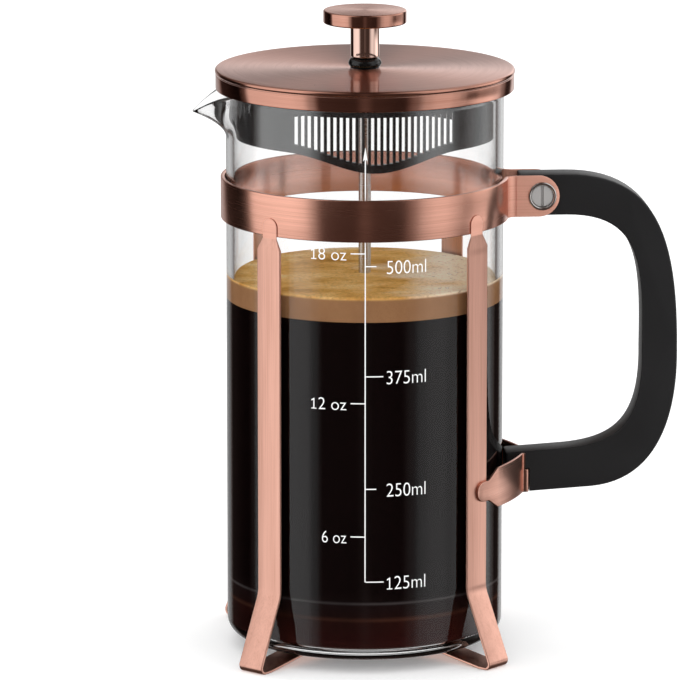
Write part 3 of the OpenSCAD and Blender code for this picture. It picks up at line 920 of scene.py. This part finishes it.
def yoke_path():
    """Front half of the yoke's band from above, from its lap on the leg to the handle, and where it crosses."""
    yoke_r = LEG_R + STRIP_T
    c45 = math.sqrt(0.5)
    reach = LEG_W / 2 + YOKE_GAP
    start = ((yoke_r + reach) * c45, (reach - yoke_r) * c45)
    yoke_y = EAR_Y - RING_T / 2 + STRIP_T / 2
    a0, a1 = 51, 71
    radius = (-yoke_y - start[1]) / (math.cos(math.radians(a0)) - math.cos(math.radians(a1)))
    centre = (start[0] - radius * math.sin(math.radians(a0)), start[1] + radius * math.cos(math.radians(a0)))
    band = arc(centre[0], centre[1], radius, a0 - 90, a1 - 90, 24)
    cross_x = band[-1][0] + 1.6
    back = ((start[0] - yoke_r * c45) / reach, (start[1] + yoke_r * c45) / reach)
    steps = [YOKE_TAB_H * (1 - math.cos(math.radians(a))) - YOKE_LAP for a in range(0, 91, 10)] + [4]
    tab = [(yoke_r * c45 + back[0] * d, -yoke_r * c45 + back[1] * d) for d in steps]
    return tab + band, cross_x, yoke_y


def make_yoke():
    points, cross_x, yoke_y = yoke_path()
    end_x = points[-1][0]
    low = yoke_low.z
    mid = (yoke_low.z + yoke_high.z) / 2
    half_h = (yoke_high.z - yoke_low.z) / 2
    bend_at = YOKE_LAP + LEG_W / 2 + YOKE_GAP

    def limits(s):
        h = YOKE_TAB_H
        if s < YOKE_TAB_H:
            h = math.sqrt(max(YOKE_TAB_H * YOKE_TAB_H - (YOKE_TAB_H - s) ** 2, 0.01))
        elif s >= bend_at:
            h = min(YOKE_TAB_H + (half_h - YOKE_TAB_H) * (s - bend_at) / 5, half_h)
        return mid - h, mid + h

    corner = rounded([points[-2], points[-1], (end_x + 0.8, -yoke_y)], [0, 1, 0], 3, closed=False)
    side = bent_strip(dense(points[:-1], 0.7) + corner[1:], limits)
    across = rounded([(end_x + 0.3, -yoke_y), (cross_x, -yoke_y), (cross_x, yoke_y), (end_x + 0.3, yoke_y)],
                     [0, 0.5, 0.5, 0], 5, closed=False)
    bridge = bent_strip(dense(across, 1), lambda s: (low, low + 6.8))
    shape = joined(side, mirrored(side), bridge)
    mesh_piece("lower_yoke", shape, copper_yoke, "frame", "handle_yoke")


# ---- handle and its screw

def handle_outline():
    """Side of the handle: one curve for each quarter of the grip, outside and inside."""
    x1 = handle_high.x
    x0 = x1 - 10.4
    top = handle_high.z
    low = yoke_low.z
    mid = 87
    outline = [(45, top)]
    outline += bezier((x1 - 33, top), (x1 - 7, top), (x1, top - 17.5), (x1, mid))
    outline += bezier((x1, mid), (x1 + 0.3, 68), (x1 - 5, low + 2.8), (x1 - 25, low + 1.2))[1:]
    outline += [(41.4, low - 0.4), (41.4, low + 11.7)]
    outline += bezier((x0 - 24, low + 12.7), (x0 - 7, low + 13.7), (x0 + 0.5, low + 19.5), (x0, mid))
    outline += bezier((x0, mid), (x0 + 0.2, 111), (x0 + 0.4, RING_Z + 0.2), (x0 - 22.6, RING_Z + 0.2))[1:]
    outline += [(45, RING_Z + 0.2)]
    return outline


def make_handle():
    half_t = handle_high.y
    handle = raw_object("grip_handle", prism(handle_outline()[::-1], -half_t, half_t))
    modify(handle, "BEVEL", width=0.5 * MM, segments=3, limit_method="ANGLE", angle_limit=math.radians(30),
           miter_outer="MITER_ARC")
    apply_modifiers(handle)
    cross_x = yoke_path()[1]
    slot = block(cross_x - 0.7, cross_x + 0.7, -8, 8, yoke_low.z - 3, yoke_low.z + 7)
    beds = [screw_hole(CUP_R, CUP_SEAT, 8), screw_hole(CUP_R, -8, -CUP_SEAT)]
    cut(handle, [slot, screw_hole(2.0, -8, 8)] + beds)
    dress(handle, black_handle, "frame", "handle", 35)


def turned_y(profile, side):
    """A closed profile of (radius, distance out) turned about the screw's axis, in front (-1) or behind (1)."""
    verts, faces = lathe(profile, 72)
    placed = [(SCREW_X + x, side * z, SCREW_Z + y * side) for x, y, z in verts]
    return placed, [face[::-1] for face in faces]


def make_screws():
    """Cup washers, the slotted screw in front and the slotted barrel nut behind."""
    cup_floor = CUP_SEAT + 0.4
    head_r, head_z = 3.16, 5.6
    cup = [(2.0, CUP_SEAT), (4.2, CUP_SEAT)] + arc(3.74, 5.85, 0.48, -20, 180, 10)
    cup += [(3.26, cup_floor), (2.0, cup_floor)]
    shape = joined(turned_y(cup, -1), turned_y(cup, 1))
    mesh_piece("cup_washers", shape, cup_metal, "frame", "screw_cups")

    head = [(head_r, cup_floor), (head_r, head_z), (0, head_z)]
    screw = rounded([(0, -1), (1.5, -1), (1.5, cup_floor)] + head, [0, 0.2, 0, 0.1, 0.2, 0], 5)
    nut = rounded([(1.55, -2.5), (1.98, -2.5), (1.98, cup_floor)] + head + [(0, 1.5), (1.55, 1.5)],
                  [0, 0.1, 0, 0.1, 0.2, 0, 0, 0], 5)
    heads = ("slotted_screw", screw, -1, "handle_screw"), ("slotted_nut", nut, 1, "barrel_nut")
    for name, profile, side, node in heads:
        depth = sorted((side * 4.65, side * 7))
        groove = block(SCREW_X - 0.4, SCREW_X + 0.4, *depth, SCREW_Z - 5, SCREW_Z + 5)
        piece = cut(raw_object(name, turned_y(profile, side)), [groove])
        dress(piece, screw_metal, "frame", node)


# ---- lid

def make_lid():
    """The cap: a flat top that turns over a small bead into its rim, with the grommet's hole in the middle."""
    hole_r = 3.4
    bead = 0.7
    inner_r, skirt_r = LID_R - 1.2, LID_R - 0.2
    section = rounded([(hole_r, LID_Z1 - 1), (inner_r, LID_Z1 - 1), (inner_r, LID_Z0), (skirt_r, LID_Z0),
                       (skirt_r, LID_Z1 - 1.65), (LID_R - 0.45, LID_Z1 - 1.65), (LID_R - 0.45, LID_Z1 - 1.4)],
                      [0, 0.4, 0.1, 0.2, 0.1, 0, 0], 4)
    section += arc(LID_R - bead, LID_Z1 - bead, bead, -75, 90, 12)
    section += [(LID_R - 1 - 2 * i, LID_Z1) for i in range(1, 19)] + [(hole_r, LID_Z1)]
    lid = mesh_piece("lid_cap_shell", lathe(section, 256), copper_lid, "lid", "lid_cap")
    # The side gets the darker copper: painted shade.
    second_material(lid, copper_side_shaded, on_its_side)
    lid.visible_glossy = False  # the knob's stem mirrors the studio all the way down

    low, high = box_mm("lid_grommet")
    r = high.x
    seat = LID_Z1 + 0.2
    section = [(ROD_HOLE_R, low.z), (hole_r - 0.05, low.z), (hole_r - 0.05, seat), (r - 0.5, seat)]
    section += arc(r - 1.3, seat + 1.3, 1.3, -60, 0, 6) + arc(r - 1.7, high.z - 1.7, 1.7, 0, 90, 10)
    section += [(2.4, high.z)] + arc(ROD_HOLE_R + 0.3, high.z - 0.3, 0.3, 90, 180, 4)
    mesh_piece("rod_grommet", lathe(section, 96), black_rubber, "lid_hub", "lid_grommet")


# ---- plunger

def bar_section(node, inner_r, radii, n):
    """Half section of a round bar or tube of the CAD node's size, corners counted from the inside low one."""
    low, high = box_mm(node)
    return rounded([(inner_r, low.z), (high.x, low.z), (high.x, high.z), (inner_r, high.z)], radii, n)


def make_knob_and_rod():
    disc = lathe(bar_section("knob_disc", 0, [0, 0.45, 0.45, 0], 6))
    knob = mesh_piece("knob_plate", disc, copper_knob, "plunger", "knob_disc")
    # The side gets the darker copper: painted shade.
    second_material(knob, copper_side_shaded, on_its_side)
    sleeve = lathe(bar_section("knob_stem", ROD_HOLE_R, [0, 0.35, 0, 0], 5), 128)
    mesh_piece("knob_sleeve", sleeve, copper_polished, "plunger", "knob_stem")
    rod = lathe(bar_section("plunger_rod", 0, [0, 0.4, 0, 0], 4), 96)
    mesh_piece("rod", rod, rod_metal, "plunger", "plunger_rod")


def make_coil():
    """The wire wound round the plate's edge: one endless helix that fills the ring its CAD solid stands for."""
    low, high = box_mm("rim_coil")
    minor = (high.z - low.z) / 2
    major = high.x - minor
    level = (low.z + high.z) / 2
    wire_r = 0.28
    turns, per_turn, sides = 150, 16, 6
    count = turns * per_turn
    verts = []

    def middle_line(k):
        a = 2 * math.pi * k / count
        b = 2 * math.pi * k / per_turn
        r = major + (minor - wire_r) * math.cos(b)
        return Vector((r * math.cos(a), r * math.sin(a), level + (minor - wire_r) * math.sin(b)))

    for k in range(count):
        p = middle_line(k)
        along = (middle_line(k + 1) - middle_line(k - 1)).normalized()
        a = 2 * math.pi * k / count
        out = p - Vector((major * math.cos(a), major * math.sin(a), level))
        out = (out - along * out.dot(along)).normalized()
        side = along.cross(out)
        for j in range(sides):
            t = 2 * math.pi * j / sides
            verts.append(tuple(p + out * (wire_r * math.cos(t)) + side * (wire_r * math.sin(t))))
    shape = verts, tube(count, sides, endless=True)
    mesh_piece("wire_coil", shape, wire_metal, "plunger", "rim_coil", 60)


def make_screens():
    """The two woven screens: flat under the plate, then dished below the coil with a crimped edge."""
    thick = 0.4
    for place in ("upper", "lower"):
        node = "mesh_screen_" + place
        low, high = box_mm(node)
        r = high.x
        bottom = low.z + thick
        upper = rounded([(ROD_HOLE_R, high.z), (31, high.z), (r - 1.6, bottom), (r, bottom)],
                        [0, 3, 1.2, 0], 6, closed=False)
        lower = [(x, z - thick) for x, z in reversed(upper)]
        shape = lathe(lower + upper)
        mesh_piece("woven_screen_" + place, shape, mesh_metal, "plunger", node)


def dress_cad_nodes():
    """CAD nodes whose shape is right stay, with smooth shading and a finished material."""
    kept = {"strip_rivet": rivet_metal, "grommet_retainer": black_rubber, "lid_strainer": black_strainer}
    kept |= dict.fromkeys(("rod_collar", "spring_plate", "cross_plate", "hub_nut"), plate_metal)
    for node, material in kept.items():
        surface_finish(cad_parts[node], material, 35)
    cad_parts["lid_strainer"].visible_glossy = False   # for the same reason as the lid


# ---- studio

# Brightness of the studio round the object, by azimuth in degrees from the camera's side to the right.
STUDIO = (
    (-180, 0.62), (-166, 0.5), (-155, 0.4), (-144, 0.03), (-114, 0.005), (-107, 0.1), (-100, 1.0), (-60, 1.1),
    (-50, 1.0), (-42, 0.45), (-35, 0.06), (-8, 0.05), (0, 0.13), (8, 0.06), (30, 0.04), (40, 0.25), (49, 0.68),
    (58, 0.87), (68, 0.88), (75, 0.72), (82, 0.4), (87, 0.1), (93, 0.06), (101, 0.28), (116, 0.42), (125, 0.6),
    (133, 0.3), (141, 0.03), (149, 0.04), (158, 0.8), (180, 0.68),
)
# The same for what shows straight through the glass.
BACKDROP = (
    (-180, 1.15), (-164, 1.15), (-140, 0.8), (-110, 0.55), (-60, 0.5), (60, 0.5), (110, 0.55), (140, 0.8),
    (164, 1.15), (180, 1.15),
)
STUDIO_PEAK = 1.25
STRIPS_AZIMUTH = 1.82       # radians
WALL_LEVEL = 0.65           # what the inside of the glass mirrors
DIFFUSE_LEVEL = 1.25
WARM = (1, 0.68, 0.58)


def make_world():
    """White all round for diffuse light. Metal and glass mirror a dark front with a softbox on each side."""
    world = bpy.data.worlds.new("studio")
    bpy.context.scene.world = world
    world.use_nodes = True
    world.cycles.sampling_method = "NONE"
    t = Tree(world.node_tree)

    def choose(factor, a, b):
        """a where factor is 0, b where it is 1."""
        return t.plus(t.times(t.minus(1.0, factor), a), t.times(factor, b))

    def above(value, limit):
        return t.maths("GREATER_THAN", value, limit)

    def round_about(levels):
        stops = [((a + 180) / 360, level / STUDIO_PEAK) for a, level in levels]
        return t.times(t.ramp(turn, stops, "EASE"), STUDIO_PEAK)

    x, y, z = t.parts(t.add("TexCoord").outputs["Generated"])
    c, s = math.cos(CAMERA_AZIMUTH), math.sin(CAMERA_AZIMUTH)
    right = t.plus(t.times(x, c), t.times(y, s))
    toward = t.minus(t.times(x, s), t.times(y, c))
    azimuth = t.maths("ARCTAN2", right, toward)
    turn = t.maths("ADD", t.maths("DIVIDE", azimuth, 2 * math.pi), 0.5, clamp=True)
    around = round_about(STUDIO)

    # Two short strips on the right, which the broad highlight of the upright brushing picks up.
    low_strip = t.times(t.rise(z, -0.178, -28.0), t.rise(z, -0.34, 14.0))
    high_strip = t.hump(z, 0.16, 1.3, 5.0)
    strips = t.times(t.plus(t.times(low_strip, 1.05), t.times(high_strip, 1.1)),
                     t.hump(azimuth, STRIPS_AZIMUTH, 1.6, 3.2))

    # Overhead the middle is dark and the two sides stay light. Far below, all is dark.
    sideways = t.rise(t.maths("ABSOLUTE", right), 0.12, 2.6)
    overhead = t.plus(0.06, t.times(sideways, t.plus(0.42, t.times(around, 0.5))))
    mirrored_light = choose(t.rise(z, 0.27, 6.0), around, overhead)
    mirrored_light = t.plus(choose(t.rise(z, -0.4, -5.0), mirrored_light, 0.06), strips)

    # Above the horizon the back wall is lighter right of its middle, which gives the lid's top its sectors.
    aside = t.times(t.maths("MAXIMUM", t.maths("MINIMUM", right, 0.15), -0.15), 4.5)
    at_back = t.times(t.rise(toward, -0.45, -5.0), t.rise(z, 0.05, 8.0))
    mirrored_light = t.times(mirrored_light, t.plus(1.0, t.times(aside, at_back)))

    # What a ray meets depends on its way here: straight through the glass, off the glass's inside or off metal.
    ray = t.add("LightPath").outputs
    passed = ray["Transmission Depth"]
    in_glass = above(passed, 0.5)
    glossy = above(ray["Glossy Depth"], 0.5)
    inside_wall = t.times(t.times(in_glass, t.maths("LESS_THAN", passed, 3.5)), glossy)
    inside_wall = t.times(t.times(inside_wall, t.rise(toward, -0.8, -8.0)), 0.8)
    scattered = above(ray["Diffuse Depth"], 0.5)
    straight_through = t.times(in_glass, t.minus(1.0, glossy))
    level = choose(straight_through, mirrored_light, round_about(BACKDROP))
    level = choose(inside_wall, level, WALL_LEVEL)
    level = choose(above(passed, 5.5), level, 1.0)
    level = choose(scattered, level, DIFFUSE_LEVEL)
    level = choose(t.times(scattered, glossy), level, 0.5)
    level = choose(ray["Is Camera Ray"], level, 1.0)
    background = t.tree.nodes["Background"]
    t.link(level, background.inputs["Strength"])
    # The darker it is, the warmer.
    t.link(t.blend(t.maths("MULTIPLY", level, 2.6, clamp=True), WARM, (1, 1, 1)), background.inputs["Color"])


def make_floor():
    """A white floor, open from below, that metal and glass neither mirror nor show."""
    size = 40000
    verts = [(-size, -size, 0), (size, -size, 0), (size, size, 0), (-size, size, 0)]
    floor = raw_object("floor", (verts, [[0, 1, 2, 3]]))
    m = Nodes("floor_white")
    m.set(base_color=(0.93, 0.93, 0.93, 1), roughness=1.0, specular_ior_level=0.0,
          emission_color=(1, 1, 1, 1), emission_strength=0.17)
    mix = m.add("MixShader")
    m.link(m.add("NewGeometry").outputs["Backfacing"], mix.inputs[0])
    m.link(m.shader.outputs[0], mix.inputs[1])
    m.link(m.add("BsdfTransparent").outputs[0], mix.inputs[2])
    m.link(mix.outputs[0], m.tree.nodes["Material Output"].inputs[0])
    floor.data.materials.append(m.material)
    floor.visible_glossy = False
    floor.visible_transmission = False


def make_camera():
    right = Vector((math.cos(CAMERA_AZIMUTH), math.sin(CAMERA_AZIMUTH), 0))
    back = Vector((math.sin(CAMERA_AZIMUTH) * math.cos(CAMERA_ELEVATION),
                   -math.cos(CAMERA_AZIMUTH) * math.cos(CAMERA_ELEVATION), math.sin(CAMERA_ELEVATION)))
    camera = new_object("camera", bpy.data.cameras.new("camera"))
    camera.location = right * TARGET_SIDE + Vector((0, 0, TARGET_Z)) + back * CAMERA_DISTANCE
    camera.rotation_mode = "QUATERNION"
    camera.rotation_quaternion = (-back).to_track_quat("-Z", "Y")
    camera.data.lens = CAMERA_LENS
    camera.data.sensor_width = 36
    bpy.context.scene.camera = camera
    bpy.context.scene.view_settings.view_transform = "Standard"


make_camera()
make_beaker()
make_coffee()
make_marks()
make_ring()
make_leg("leg_strip_front", "leg_strip_a", 45, 0)
make_leg("leg_strip_back", "leg_strip_b", 135, STRIP_T)
make_yoke()
make_handle()
make_screws()
make_lid()
make_knob_and_rod()
make_coil()
make_screens()
dress_cad_nodes()
make_world()
make_floor()
